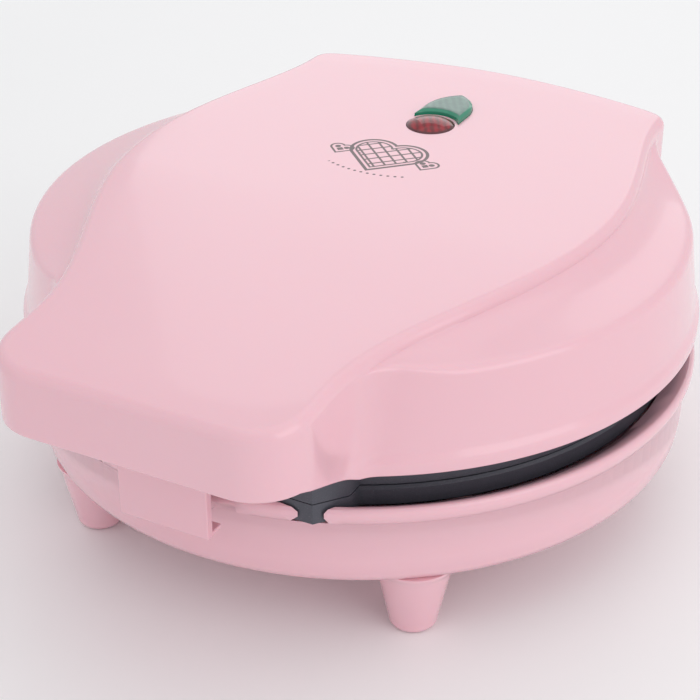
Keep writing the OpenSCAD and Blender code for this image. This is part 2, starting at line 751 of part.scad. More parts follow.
place() base_housing();
place() footAt(-1, -1);  // foot_front_left
place() footAt(1, -1);  // foot_front_right
place() footAt(-1, 1);  // foot_rear_left
place() footAt(1, 1);  // foot_rear_right
place() foot_screws();
place() cord_gland();
place() plate();  // lower_plate
place() plate_screws();  // lower_plate_screws
place() element();  // lower_element
place() element_clamps();  // lower_element_clamps
place() clamp_screws();  // lower_clamp_screws
place() reflector();  // lower_reflector
place() reflector_screws();  // lower_reflector_screws
place() terminal_block();
place() base_leads();
place() hinge_pin();
place() lid_cover();
place() handle_cover();
place() handle_cover_screws();
place() turnedOver() plate();  // upper_plate
place() turnedOver() plate_screws();  // upper_plate_screws
place() turnedOver() element();  // upper_element
place() turnedOver() element_clamps();  // upper_element_clamps
place() turnedOver() clamp_screws();  // upper_clamp_screws
place() turnedOver() reflector();  // upper_reflector
place() turnedOver() reflector_screws();  // upper_reflector_screws
place() thermostat();
place() thermal_fuse();
place() power_lens();
place() ready_lens();
place() lampAt(lens_y);  // power_lamp
place() lampAt(shield_y + 3);  // ready_lamp
place() lamp_board();
place() lid_leads();
place() latch_pin();
place() latch_spring();
place() latch();
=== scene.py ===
import json
import math
import bpy
import bmesh
import numpy as np
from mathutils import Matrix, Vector

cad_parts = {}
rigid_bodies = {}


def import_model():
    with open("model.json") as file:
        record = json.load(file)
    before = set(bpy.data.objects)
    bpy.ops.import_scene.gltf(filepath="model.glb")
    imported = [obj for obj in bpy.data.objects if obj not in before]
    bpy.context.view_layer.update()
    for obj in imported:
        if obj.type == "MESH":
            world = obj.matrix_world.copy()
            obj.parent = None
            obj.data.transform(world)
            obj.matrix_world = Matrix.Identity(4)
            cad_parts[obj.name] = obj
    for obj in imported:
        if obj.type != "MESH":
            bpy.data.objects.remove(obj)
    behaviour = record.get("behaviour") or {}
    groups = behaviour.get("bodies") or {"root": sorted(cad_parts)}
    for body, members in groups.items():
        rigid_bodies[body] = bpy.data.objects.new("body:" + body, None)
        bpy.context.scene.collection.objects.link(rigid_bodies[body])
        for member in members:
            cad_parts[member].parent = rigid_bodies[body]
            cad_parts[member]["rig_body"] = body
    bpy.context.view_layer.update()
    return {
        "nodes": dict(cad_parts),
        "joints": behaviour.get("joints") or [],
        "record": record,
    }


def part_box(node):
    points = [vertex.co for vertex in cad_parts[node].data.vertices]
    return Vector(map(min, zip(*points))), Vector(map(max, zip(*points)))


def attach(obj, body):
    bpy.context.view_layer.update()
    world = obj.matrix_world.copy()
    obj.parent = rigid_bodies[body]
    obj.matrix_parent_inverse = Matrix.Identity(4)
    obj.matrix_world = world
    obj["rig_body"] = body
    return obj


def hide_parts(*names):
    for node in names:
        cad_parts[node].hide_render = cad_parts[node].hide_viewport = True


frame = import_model()
mm = 0.001
print("frame loaded:", len(frame["nodes"]), "nodes")

# ---- places taken from the frame, in millimetres
boxOf = {name: [np.array(corner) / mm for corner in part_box(name)] for name in frame["nodes"]}
bodyRadius = boxOf["base_housing"][1][0]
plateRadius = boxOf["lower_plate"][1][0]
axisY = boxOf["lower_plate"][1][1] - plateRadius  # the round body's axis stands here
handleFront = boxOf["lid_cover"][0][1] - axisY
topZ = boxOf["lid_cover"][1][2]
hinge = next(j for j in frame["joints"] if j["name"] == "lid_hinge")
hingeY = hinge["pos_m"][1] / mm - axisY
hingeZ = hinge["pos_m"][2] / mm
print("body radius", round(bodyRadius, 1), "axis y", round(axisY, 2), "top", round(topZ, 1))


# ---- camera, floor and light
view = {"azimuth": 27.815, "elevation": 29.637, "distance": 600, "lens": 91.28,
        "target": (-4.12, 0, 40.13)}


def setCamera():
    turn, tilt = math.radians(view["azimuth"]), math.radians(view["elevation"])
    back = Vector((math.sin(turn) * math.cos(tilt), -math.cos(turn) * math.cos(tilt), math.sin(tilt)))
    target = Vector(view["target"]) + Vector((0, axisY, 0))
    data = bpy.data.cameras.new("camera")
    data.lens = view["lens"]
    data.clip_start = 0.01
    camera = bpy.data.objects.new("camera", data)
    camera.location = (target + back * view["distance"]) * mm
    camera.rotation_euler = back.to_track_quat("Z", "Y").to_euler()
    bpy.context.scene.collection.objects.link(camera)
    bpy.context.scene.camera = camera


# name: place in metres from the body's middle, size, power, colour
lamps = {
    "overhead": ((0.15, 0.1, 1.3), 1.5, 2.4, (1, 0.99, 0.98)),
    "rightSide": ((1.5, -0.35, 0.75), 1.2, 5.5, (1, 0.98, 0.97)),
    "frontFill": ((-0.7, -1.6, 0.7), 1.4, 0.5, (0.97, 0.98, 1)),
    "behind": ((-0.5, 1.5, 0.9), 1.2, 3, (1, 1, 1)),
}


def setLights():
    middle = Vector((0, axisY * mm, 0.06))
    for name, (place, size, power, colour) in lamps.items():
        data = bpy.data.lights.new(name, "AREA")
        data.size = size
        data.energy = power
        data.color = colour
        lamp = bpy.data.objects.new(name, data)
        lamp.location = middle + Vector(place)
        lamp.rotation_euler = Vector(place).to_track_quat("Z", "Y").to_euler()
        bpy.context.scene.collection.objects.link(lamp)
    world = bpy.data.worlds.new("studio")
    bpy.context.scene.world = world
    world.use_nodes = True
    sky = world.node_tree.nodes["Background"]
    sky.inputs["Color"].default_value = (0.97, 0.975, 0.985, 1)
    sky.inputs["Strength"].default_value = 0.76
    bpy.context.scene.view_settings.view_transform = "Standard"


setCamera()
setLights()
print("camera and lights are set")


# ---- shader maths
class Wire:
    # one output of a node tree: + - * / and the calls below add the nodes they stand for
    def __init__(self, tree, socket=None):
        self.tree, self.socket = tree, socket

    def node(self, kind, settings=None, sockets=None, out=0):
        made = self.tree.nodes.new(kind)
        for name, value in (settings or {}).items():
            if name == "stops":  # a ramp's places and colours
                ramp = made.color_ramp.elements
                for i, (place, colour) in enumerate(value):
                    stop = ramp[i] if i < 2 else ramp.new(place)
                    stop.position, stop.color = place, colour
            else:
                setattr(made, name, value)
        for key, value in (sockets or {}).items():
            if isinstance(value, Wire):
                self.tree.links.new(value.socket, made.inputs[key])
            else:
                made.inputs[key].default_value = value
        return Wire(self.tree, made.outputs[out])

    def maths(self, operation, *values):
        return self.node("ShaderNodeMath", {"operation": operation}, dict(enumerate(values)))

    def __add__(self, other): return self.maths("ADD", self, other)
    def __radd__(self, other): return self.maths("ADD", other, self)
    def __sub__(self, other): return self.maths("SUBTRACT", self, other)
    def __rsub__(self, other): return self.maths("SUBTRACT", other, self)
    def __mul__(self, other): return self.maths("MULTIPLY", self, other)
    def __rmul__(self, other): return self.maths("MULTIPLY", other, self)
    def __truediv__(self, other): return self.maths("DIVIDE", self, other)
    def __rtruediv__(self, other): return self.maths("DIVIDE", other, self)
    def __abs__(self): return self.maths("ABSOLUTE", self)

    def low(self, other): return self.maths("MINIMUM", self, other)
    def high(self, other): return self.maths("MAXIMUM", self, other)
    def root(self): return self.maths("SQRT", self)

    def step(self, start, end, low=0.0, high=1.0):
        # smooth step of this value from start to end
        return self.node("ShaderNodeMapRange", {"interpolation_type": "SMOOTHSTEP"},
                         {0: self, 1: start, 2: end, 3: low, 4: high})

    def blend(self, colourA, colourB):
        # colour mixed from A to B as this value goes from 0 to 1
        return self.node("ShaderNodeMix", {"data_type": "RGBA"}, {0: self, 6: colourA, 7: colourB}, 2)


def objectPlace(start, centre=(0, 0, 0), turn=0):
    # object coordinates in millimetres, seen from a centre and turned about z
    place = start.node("ShaderNodeTexCoord", out=3)
    moved = start.node("ShaderNodeMapping", {"vector_type": "TEXTURE"},
                       {0: place, 1: tuple(c * mm for c in centre), 2: (0, 0, turn), 3: (mm,) * 3})
    return moved


def split(vector):
    tree = vector.tree
    parts = tree.nodes.new("ShaderNodeSeparateXYZ")
    tree.links.new(vector.socket, parts.inputs[0])
    return [Wire(tree, parts.outputs[i]) for i in range(3)]


def noise(place, scale, detail=3.0, rough=0.5):
    return place.node("ShaderNodeTexNoise", None,
                      {"Vector": place, "Scale": scale, "Detail": detail, "Roughness": rough})


def bumped(place, height, distance, strength=1.0):
    return place.node("ShaderNodeBump", None,
                      {"Strength": strength, "Distance": distance * mm, "Height": height})


def finish(name, fixed, varied):
    # fixed values sit on the shader's own sockets, varied gives what changes over the surface
    material = bpy.data.materials.new(name)
    material.use_nodes = True
    tree = material.node_tree
    shader = tree.nodes["Principled BSDF"]
    for key, value in fixed.items():
        shader.inputs[key].default_value = value
    for key, wire in varied(Wire(tree)).items():
        tree.links.new(wire.socket, shader.inputs[key])
    return material


pink = {"colour": (0.89, 0.545, 0.612, 1), "deep": (0.875, 0.51, 0.58, 1), "roughness": 0.2}


def pinkSurface(start):
    # moulded gloss plastic: faint flow marks in the colour, fine orange peel in the surface
    place = objectPlace(start)
    cloud = noise(place, 0.018, 2.0)
    speck = noise(place, 1.6, 2.0)
    colour = (cloud * 0.8 + speck * 0.2).blend(pink["deep"], pink["colour"])
    rough = cloud.step(0.3, 0.7, pink["roughness"] - 0.03, pink["roughness"] + 0.04)
    peel = noise(place, 0.35, 2.0) + noise(place, 2.2, 1.0) * 0.12
    return {"Base Color": colour, "Roughness": rough, "Normal": bumped(place, peel, 0.035, 0.5)}


gloss = {"Coat Weight": 0.35, "Coat Roughness": 0.06, "Specular IOR Level": 0.5, "IOR": 1.5,
         "Subsurface Weight": 0.08, "Subsurface Scale": 0.002}
pinkPlastic = finish("pinkPlastic", gloss, pinkSurface)

emblem = {"centre": (-2, 18.7), "heart": 15.5, "line": 0.74, "ink": (0.05, 0.008, 0.012, 1)}


def heartDistance(x, y, side):
    # a square on its tip and two discs on its upper sides; negative inside
    u, v = (x + y) * math.sqrt(0.5), (y - x) * math.sqrt(0.5)
    half = side / 2
    square = abs(u - half).high(abs(v - half)) - half
    discA = ((u - half) * (u - half) + (v - side) * (v - side)).root() - half
    discB = ((u - side) * (u - side) + (v - half) * (v - half)).root() - half
    return square.low(discA).low(discB)


def band(distance, width):
    # 1 within half a width of the line where the distance is nought
    return abs(distance).step(width / 2 - 0.08, width / 2 + 0.08, 1.0, 0.0)


def emblemMask(start):
    # a waffle heart in thin lines between two small hearts, with a dotted arc below
    line = emblem["line"]
    x, y, _ = split(objectPlace(start, (emblem["centre"][0], emblem["centre"][1] + axisY, 0)))
    up = y + emblem["heart"] * 0.74
    big = heartDistance(x, up, emblem["heart"])
    inside = big.step(-1.9, -1.7, 1.0, 0.0)
    lattice = 0
    for slope in (1, -1):
        along = (x + up * slope) * math.sqrt(0.5)
        wave = abs(along.maths("PINGPONG", along + 31.0, 1.9))
        lattice = band(wave, line) if slope == 1 else lattice.high(band(wave, line))
    mask = band(big, line * 1.5).high(band(big + 1.8, line)).high(lattice * inside)
    for side in (-1, 1):
        small = heartDistance(x - side * 15.6, y + 3.4, 4.6)
        mask = mask.high(band(small, line))
        mask = mask.high((small + 1.3).step(-0.1, 0.1, 1.0, 0.0))
    radius = (x * x + (y - 20.5) * (y - 20.5)).root()
    angle = x.maths("ARCTAN2", x, 20.5 - y)
    dots = abs(angle.maths("PINGPONG", angle + 9.0, 0.034)) * 34.0
    spot = ((radius - 34.2) * (radius - 34.2) + dots * dots).root().step(0.42, 0.58, 1.0, 0.0)
    return mask.high(spot * abs(angle).step(0.42, 0.44, 1.0, 0.0))


def lidSurface(start):
    # the pink plastic with the printed emblem: ink on top faces only, a touch duller than the gloss
    made = pinkSurface(start)
    height = split(objectPlace(start))[2]
    mask = emblemMask(start) * height.step(topZ - 1.2, topZ - 0.9)
    made["Base Color"] = mask.blend(made["Base Color"], emblem["ink"])
    made["Roughness"] = made["Roughness"] + mask * 0.12
    return made


printedPlastic = finish("printedPlastic", gloss, lidSurface)


def coatedSurface(start):
    # non-stick coating: slate grey with fine pale and dark flecks and a slight grain
    place = objectPlace(start)
    fleck = noise(place, 2.4, 3.0, 0.7)
    pale = noise(place, 3.1, 1.0).step(0.66, 0.74)
    colour = fleck.blend((0.045, 0.048, 0.062, 1), (0.10, 0.104, 0.13, 1))
    colour = (pale * 0.5).blend(colour, (0.16, 0.17, 0.2, 1))
    rough = fleck.step(0.35, 0.65, 0.34, 0.46)
    return {"Base Color": colour, "Roughness": rough, "Normal": bumped(place, fleck, 0.03, 0.6)}


nonstick = finish("nonstick", {"Metallic": 0.25, "Specular IOR Level": 0.6}, coatedSurface)


def steelSurface(start):
    # zinc-plated steel: cloudy passivation and fine turning marks
    place = objectPlace(start)
    cloud = noise(place, 0.4, 3.0)
    marks = noise(place, 4.0, 2.0)
    colour = cloud.blend((0.5, 0.5, 0.52, 1), (0.74, 0.73, 0.70, 1))
    return {"Base Color": colour, "Roughness": (cloud + marks).step(0.7, 1.3, 0.22, 0.4),
            "Normal": bumped(place, marks, 0.02, 0.4)}


steel = finish("steel", {"Metallic": 1.0}, steelSurface)


def sheathSurface(start):
    # heated sheath: straw and blue heat tint over dark oxide
    place = objectPlace(start)
    tint = noise(place, 0.06, 3.0)
    stops = [(0.35, (0.10, 0.085, 0.07, 1)), (0.6, (0.22, 0.17, 0.11, 1)), (0.75, (0.10, 0.11, 0.16, 1))]
    colour = tint.node("ShaderNodeValToRGB", {"stops": stops}, {0: tint})
    return {"Base Color": colour, "Roughness": tint.step(0.3, 0.7, 0.38, 0.55),
            "Normal": bumped(place, noise(place, 1.2), 0.03, 0.5)}


sheath = finish("sheath", {"Metallic": 0.85}, sheathSurface)


def sheetSurface(start):
    # rolled aluminium: long grain along x
    place = objectPlace(start)
    drawnOut = place.node("ShaderNodeVectorMath", {"operation": "MULTIPLY"}, {0: place, 1: (0.05, 2.2, 2.2)})
    grain = noise(drawnOut, 1.0, 3.0)
    return {"Base Color": grain.blend((0.62, 0.63, 0.65, 1), (0.82, 0.83, 0.84, 1)),
            "Roughness": grain.step(0.3, 0.7, 0.22, 0.38), "Normal": bumped(place, grain, 0.02, 0.4)}


reflectorSheet = finish("reflectorSheet", {"Metallic": 1.0}, sheetSurface)


def grained(dark, light, scale, depth, rough):
    # a plain moulded or fired surface: two close tones and a fine grain
    def surface(start):
        place = objectPlace(start)
        grain = noise(place, scale, 3.0, 0.6)
        return {"Base Color": grain.blend(dark, light),
                "Roughness": grain.step(0.3, 0.7, rough - 0.06, rough + 0.06),
                "Normal": bumped(place, grain, depth, 0.6)}
    return surface


blackMoulding = finish("blackMoulding", {},
                       grained((0.012, 0.012, 0.013, 1), (0.035, 0.035, 0.037, 1), 1.4, 0.05, 0.55))
ceramic = finish("ceramic", {}, grained((0.72, 0.69, 0.6, 1), (0.86, 0.84, 0.77, 1), 0.9, 0.04, 0.6))
leadSleeve = finish("leadSleeve", {}, grained((0.35, 0.03, 0.025, 1), (0.62, 0.09, 0.07, 1), 2.5, 0.08, 0.7))
boardLaminate = finish("boardLaminate", {},
                       grained((0.05, 0.16, 0.07, 1), (0.09, 0.24, 0.11, 1), 1.1, 0.02, 0.35))


def lensSurface(dark, light, rim, rimLow, rimHigh):
    # tinted clear plastic: prisms moulded underneath show as faint facets; the rim's tone is painted light,
    # a painted highlight on the green shield's bevel and painted shade round the red button's edge
    def surface(start):
        place = objectPlace(start)
        x, y, z = split(place)
        ribs = abs(x.maths("PINGPONG", x + y * 0.6 + 400.0, 1.4)) / 1.4
        cells = (ribs * 0.6 + noise(place, 0.5) * 1.2).step(0.6, 1.25)
        # painted light: below rimLow the colour turns to the rim tone, a painted highlight on the green
        # bevel and painted shade round the red button
        crown = z.step(rimLow, rimHigh)
        return {"Base Color": crown.blend(rim, cells.blend(dark, light)),
                "Roughness": cells.step(0, 1, 0.06, 0.11),
                "Normal": bumped(place, ribs * 0.3 + noise(place, 0.7, 1.0), 0.05, 0.3)}
    return surface


clear = {"Transmission Weight": 0.08, "IOR": 1.49, "Coat Weight": 0.4, "Coat Roughness": 0.03}
# the third colour is painted edge light: painted shade round the red button, a painted highlight on the
# green shield's bevel
redLens = finish("redLens", clear, lensSurface((0.16, 0.002, 0.008, 1), (0.34, 0.004, 0.016, 1),
                                               (0.09, 0.004, 0.012, 1), topZ + 0.3, topZ + 0.6))
greenLens = finish("greenLens", clear, lensSurface((0.075, 0.17, 0.14, 1), (0.10, 0.22, 0.175, 1),
                                                   (0.015, 0.26, 0.15, 1), topZ + 1.68, topZ + 1.84))
bulbGlass = finish("bulbGlass", {"Transmission Weight": 0.6, "IOR": 1.45},
                   grained((0.8, 0.5, 0.35, 1), (0.95, 0.7, 0.5, 1), 0.6, 0.01, 0.12))


def floorSurface(start):
    place = objectPlace(start)
    cloud = noise(place, 0.01, 2.0)
    return {"Base Color": cloud.blend((0.93, 0.93, 0.935, 1), (0.96, 0.96, 0.962, 1)),
            "Roughness": cloud.step(0.3, 0.7, 0.5, 0.6)}


paleFloor = finish("paleFloor", {"Specular IOR Level": 0.3}, floorSurface)
print("materials are made")


# ---- meshes from arrays
def gridQuads(rows, columns):
    # a quad between neighbouring rows and columns; the last column meets the first
    i, j = np.meshgrid(np.arange(rows - 1), np.arange(columns), indexing="ij")
    down, along = i + 1, (j + 1) % columns
    return np.stack([i * columns + j, i * columns + along, down * columns + along, down * columns + j],
                    -1).reshape(-1, 4)


def ringSkin(rings):
    # rings of points, one below another, closed by a fan at each end
    rows, columns, _ = rings.shape
    points = rings.reshape(-1, 3)
    faces = gridQuads(rows, columns).tolist()
    poles = np.stack([rings[0].mean(0), rings[-1].mean(0)])
    j = np.arange(columns)
    k = (j + 1) % columns
    top = np.stack([np.full(columns, len(points)), k, j], -1)
    foot = np.stack([np.full(columns, len(points) + 1), j, k], -1)
    foot[:, 1:] += (rows - 1) * columns
    faces += top.tolist() + foot.tolist()
    points = np.concatenate([points, poles])
    return points, faces


def joined(parts):
    # several skins as one list of points and faces
    points, faces, start = [], [], 0
    for partPoints, partFaces in parts:
        faces += [[v + start for v in f] for f in partFaces]
        points.append(partPoints)
        start += len(partPoints)
    return np.concatenate(points), faces


def volumeOf(points, faces):
    # sum of the tetrahedra from the origin to each face's fan of triangles
    fans = np.array([(f[0], f[i], f[i + 1]) for f in faces for i in range(1, len(f) - 1)])
    a, b, c = (points[fans[:, k]] for k in range(3))
    return np.einsum("ij,ij->i", a, np.cross(b, c)).sum() / 6


def outward(skin):
    points, faces = skin
    return (points, faces) if volumeOf(points, faces) > 0 else (points, [f[::-1] for f in faces])


def addPiece(name, skin, material, body, nodes, sharp=35, offset=True):
    # points are in millimetres about the body's axis; the piece's object stays at the origin
    points, faces = skin
    shift = np.array([0, axisY if offset else 0, 0])
    mesh = bpy.data.meshes.new(name)
    mesh.from_pydata(((points + shift) * mm).tolist(), [], faces)
    mesh.validate()
    mesh.polygons.foreach_set("use_smooth", np.ones(len(mesh.polygons), bool))
    mesh.set_sharp_from_angle(angle=math.radians(sharp))
    mesh.materials.append(material)
    piece = bpy.data.objects.new(name, mesh)
    bpy.context.scene.collection.objects.link(piece)
    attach(piece, body)
    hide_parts(*nodes)
    return piece


def turned(profile, count, centre=(0, 0)):
    # a profile of (radius, z) carried round an upright axis
    angle = np.linspace(0, 2 * np.pi, count, endpoint=False)
    r, z = np.asarray(profile, float).T
    rings = np.stack([centre[0] + r[:, None] * np.cos(angle), centre[1] + r[:, None] * np.sin(angle),
                      np.repeat(z[:, None], count, 1)], -1)
    return ringSkin(rings)


def bezier(corners, count):
    t = np.linspace(0, 1, count)[:, None]
    a, b, c, d = (np.array(p, float) for p in corners)
    return (1 - t) ** 3 * a + 3 * (1 - t) ** 2 * t * b + 3 * (1 - t) * t * t * c + t ** 3 * d


def smoothMax(a, b, soft):
    # the larger of two values, rounded over a width of soft where they cross
    gap = np.clip(0.5 + (a - b) / (2 * soft), 0, 1)
    return b + (a - b) * gap + soft * gap * (1 - gap)


def smoothStep(x, start, end):
    t = np.clip((x - start) / (end - start), 0, 1)
    return t * t * (3 - 2 * t)


# ---- lid shell: flat top with handle, hollow shoulder, crease, upright wall and rim bead
lid = {"halfHandle": 49, "corner": 17, "halfTop": 83, "widestY": 8, "halfHip": 69, "hipY": 92,
       "fillet": 3.4, "creaseZ": 93, "creaseRadius": 105.6, "creaseEase": 2.2, "rampGap": 16,
       "rimZ": 63, "beadRise": 7.5, "wall": 2.5, "handleThick": 21, "drop": 9, "bendY": -20,
       "underBack": -98, "underFront": -126, "columns": 440}


def topAt(y):
    # the top line is flat at the back and falls with the power 1.5 to the front of the handle
    t = np.clip((lid["bendY"] - y) / (lid["bendY"] - handleFront), 0, 1.1)
    return topZ - lid["drop"] * t ** 1.5


def topOutline():
    # half of the top's outline from the front round to the back, then its mirror image
    w, r, m, h, y = lid["halfHandle"], lid["corner"], lid["halfTop"], lid["halfHip"], lid["hipY"]
    a = np.radians(np.linspace(-90, 0, 40))
    back = bodyRadius
    half = np.concatenate([
        np.stack([np.linspace(0, w - r, 30), np.full(30, handleFront)], -1)[:-1],
        np.stack([w - r + r * np.cos(a), handleFront + r + r * np.sin(a)], -1)[:-1],
        np.stack([np.full(20, w), np.linspace(handleFront + r, -bodyRadius - 2, 20)], -1)[:-1],
        bezier([(w, -bodyRadius - 2), (w, -bodyRadius + 36), (m, -47), (m, lid["widestY"])], 160)[:-1],
        bezier([(m, lid["widestY"]), (m, 42), (h, y - 24), (h, y)], 120)[:-1],
        bezier([(h, y), (h, y + 4.5), (h - 2.5, y + 6.8), (h - 7, y + 8.2)], 40)[:-1],
        bezier([(h - 7, y + 8.2), (h - 22, y + 13), (20, back), (0, back)], 100)])
    length = np.concatenate([[0], np.cumsum(np.linalg.norm(np.diff(half, axis=0), axis=1))])
    turn = np.arctan2(half[:, 0], -half[:, 1]) / np.pi
    pace = length / length[-1] * 0.6 + turn * 0.4
    even = np.linspace(0, 1, lid["columns"] // 2 + 1)
    right = np.stack([np.interp(even, pace, half[:, k]) for k in (0, 1)], -1)
    return np.concatenate([right, right[-2:0:-1] * (-1, 1)])


def planNormals(ring):
    along = np.roll(ring, -1, 0) - np.roll(ring, 1, 0)
    normal = np.stack([along[:, 1], -along[:, 0]], -1)
    return normal / np.linalg.norm(normal, axis=1, keepdims=True)


def wallRadius(z):
    # radius of the round wall at height z: a slight flare, then the bead above the rim
    flare = (bodyRadius - 1.6 - lid["creaseRadius"]) * np.clip((lid["creaseZ"] - z) / 23, 0, 1)
    return lid["creaseRadius"] + flare + 1.6 * smoothStep(lid["rimZ"] + lid["beadRise"] - z, 0, 4.5)


def lidOuterRings():
    # rows run from the middle of the top outwards and down; each column is one direction
    outline = topOutline()
    normal = planNormals(outline)
    reach = np.linalg.norm(outline, axis=1, keepdims=True)
    ray = outline / reach
    rows = []

    def addRow(plan, z):
        rows.append(np.concatenate([plan, np.broadcast_to(z, (len(plan), 1))], 1))

    r = lid["fillet"]
    for part in np.linspace(0.05, 1, 12):
        plan = (outline - normal * r) * part
        addRow(plan, topAt(plan[:, 1:]))
    for a in np.radians(np.linspace(10, 90, 9)):
        plan = outline - normal * r * (1 - np.sin(a))
        addRow(plan, topAt(plan[:, 1:]) - r * (1 - np.cos(a)))
    edgeZ = topAt(outline[:, 1:]) - r
    gap = lid["creaseRadius"] - reach
    ramp = smoothStep(gap, 0, lid["rampGap"])
    creaseZ = edgeZ - 0.8 - (edgeZ - 0.8 - lid["creaseZ"]) * ramp
    crease = ray * smoothMax(reach, wallRadius(creaseZ), 6.0)
    span = np.sqrt(np.sum((crease - outline) ** 2, 1, keepdims=True) + (edgeZ - creaseZ) ** 2)
    ease = np.minimum(lid["creaseEase"], span * 0.45)
    last = 1 - ease / span

    def shoulder(w):
        drop = (1 - w) * (0.68 + 0.32 * np.exp(-6 * w))
        return outline + (crease - outline) * w, creaseZ + (edgeZ - creaseZ) * drop

    for part in np.linspace(0, 1, 15)[1:] ** 1.3:
        addRow(*shoulder(last * part))
    lowZ = creaseZ - ease
    first, firstZ = shoulder(last)
    below = ray * smoothMax(reach, wallRadius(lowZ), 6.0)
    for t in np.linspace(0, 1, 8)[1:]:
        addRow((1 - t) ** 2 * first + 2 * t * (1 - t) * crease + t * t * below,
               (1 - t) ** 2 * firstZ + 2 * t * (1 - t) * creaseZ + t * t * lowZ)
    # the lower edge rises along the underside of the handle
    slope = smoothMax(np.zeros_like(reach), (lid["underBack"] - outline[:, 1:]) /
                      (lid["underBack"] - lid["underFront"]), 0.04)
    rise = 1 - smoothMax(1 - slope, np.zeros_like(reach), 0.04)
    onHandle = smoothStep(reach - bodyRadius, -1.5, 1.5)
    lowest = lid["rimZ"] + (topZ - lid["drop"] - lid["handleThick"] - lid["rimZ"]) * rise * onHandle
    turnIn = 0.9
    for part in np.concatenate([np.linspace(0, 0.72, 10)[1:], np.linspace(0.72, 1, 13)[1:]]):
        z = lowZ + (lowest + turnIn - lowZ) * part
        addRow(ray * smoothMax(reach, wallRadius(z), 6.0), z)
    rim = rows[-1][:, :2]
    inwards = planNormals(rim)
    for a in np.radians(np.linspace(15, 90, 6)):
        addRow(rim - inwards * turnIn * (1 - np.cos(a)), lowest + turnIn * (1 - np.sin(a)))
    return np.array(rows)


def surfaceNormals(rings):
    # cross product of the differences along rows and columns
    across = np.gradient(rings, axis=0)
    along = np.roll(rings, -1, 1) - np.roll(rings, 1, 1)
    normal = np.cross(along, across)
    normal /= np.linalg.norm(normal, axis=2, keepdims=True) + 1e-12
    return normal if normal[3, :, 2].mean() > 0 else -normal


def lidSkin():
    outer = lidOuterRings()
    normal = surfaceNormals(outer)
    keep = len(outer) - 7  # rows above the rim's round edge are repeated inside the wall
    inner = outer[:keep] - normal[:keep] * lid["wall"]
    inner[:, :, 2] = np.minimum(inner[:, :, 2], topAt(inner[:, :, 1]) - lid["wall"])
    inner[-1, :, 2] = outer[-1, :, 2]
    return ringSkin(np.concatenate([outer, inner[::-1]]))


def plank(outline, x0, x1, ease=0.4):
    # an outline of (y, z) carried along x, with eased end edges
    outline = np.asarray(outline, float)
    middle = outline.mean(0)
    shrink = middle + (outline - middle) * (1 - ease / np.abs(outline - middle).max())
    rows = [(x0, shrink), (x0 + ease, outline), (x1 - ease, outline), (x1, shrink)]
    rings = np.stack([np.column_stack([np.full(len(o), x), o]) for x, o in rows])
    return outward(ringSkin(rings))


lug = {"inner": 31, "width": 13, "radius": 7}


def lugOutline():
    # the barrel's circle drawn out to the lid's back wall
    a = np.radians(np.linspace(90, -150, 40))
    barrel = np.stack([hingeY + lug["radius"] * np.cos(a), hingeZ + lug["radius"] * np.sin(a)], -1)
    inside = bodyRadius - 5
    return np.concatenate([[(inside, hingeZ + 7.2)], barrel, [(inside, hingeZ + 1.4)]])


def cutThrough(piece, cutters):
    # boolean cuts, applied one after another
    for cutter in cutters:
        cut = piece.modifiers.new("cut", "BOOLEAN")
        cut.operation, cut.object, cut.solver = "DIFFERENCE", cutter, "EXACT"
        graph = bpy.context.evaluated_depsgraph_get()
        solid = bpy.data.meshes.new_from_object(piece.evaluated_get(graph))
        piece.modifiers.clear()
        piece.data = solid
        bpy.data.objects.remove(cutter)


def prism(outline, z0, z1):
    outline = np.asarray(outline, float)
    rings = np.stack([np.column_stack([outline, np.full(len(outline), z)]) for z in (z0, z1)])
    return outward(ringSkin(rings))


def cutterFrom(skin):
    points, faces = skin
    mesh = bpy.data.meshes.new("cutter")
    mesh.from_pydata(((points + (0, axisY, 0)) * mm).tolist(), [], faces)
    cutter = bpy.data.objects.new("cutter", mesh)
    bpy.context.scene.collection.objects.link(cutter)
    return cutter


lens = {"radius": 8.2, "y": 51, "halfShield": 8.3, "point": 14, "gap": 1.3, "clearance": 0.15}


def circlePlan(radius, y, count=72):
    a = np.linspace(0, 2 * np.pi, count, endpoint=False)
    return np.stack([radius * np.cos(a), y + radius * np.sin(a)], -1)


def shieldPlan(grow, count=14):
    # straight sides, a pointed end of two arcs, and a front edge hollowed round the lamp lens
    w, length, start = lens["halfShield"] + grow, lens["point"] + grow, lens["y"] + 13
    arch = (length ** 2 + w ** 2) / (2 * w)
    hollow = lens["radius"] + lens["gap"] - grow
    tip = math.asin(length / arch)
    a = np.linspace(0, tip, count)
    arc = np.stack([w - arch + arch * np.cos(a), start + arch * np.sin(a)], -1)
    side = math.acos(w / hollow) if w < hollow else 0.3
    b = np.linspace(np.pi - side, side, 2 * count)
    front = np.stack([hollow * np.cos(b), lens["y"] + hollow * np.sin(b)], -1)
    return np.concatenate([front, arc, arc[-2::-1] * (-1, 1)])


def buildLid():
    shell = addPiece("lidShell", outward(lidSkin()), printedPlastic, "lid", ["lid_cover"])
    holes = [circlePlan(lens["radius"] + lens["clearance"], lens["y"]), shieldPlan(lens["clearance"])]
    cutThrough(shell, [cutterFrom(prism(plan, topZ - 6, topZ + 2)) for plan in holes])
    shell.data.set_sharp_from_angle(angle=math.radians(40))
    lugs = joined([plank(lugOutline(), s * (lug["inner"] + lug["width"] / 2) - lug["width"] / 2,
                         s * (lug["inner"] + lug["width"] / 2) + lug["width"] / 2) for s in (-1, 1)])
    addPiece("lidHingeLugs", lugs, pinkPlastic, "lid", ["lid_cover"])
    print("lid shell:", len(shell.data.polygons), "faces")


buildLid()


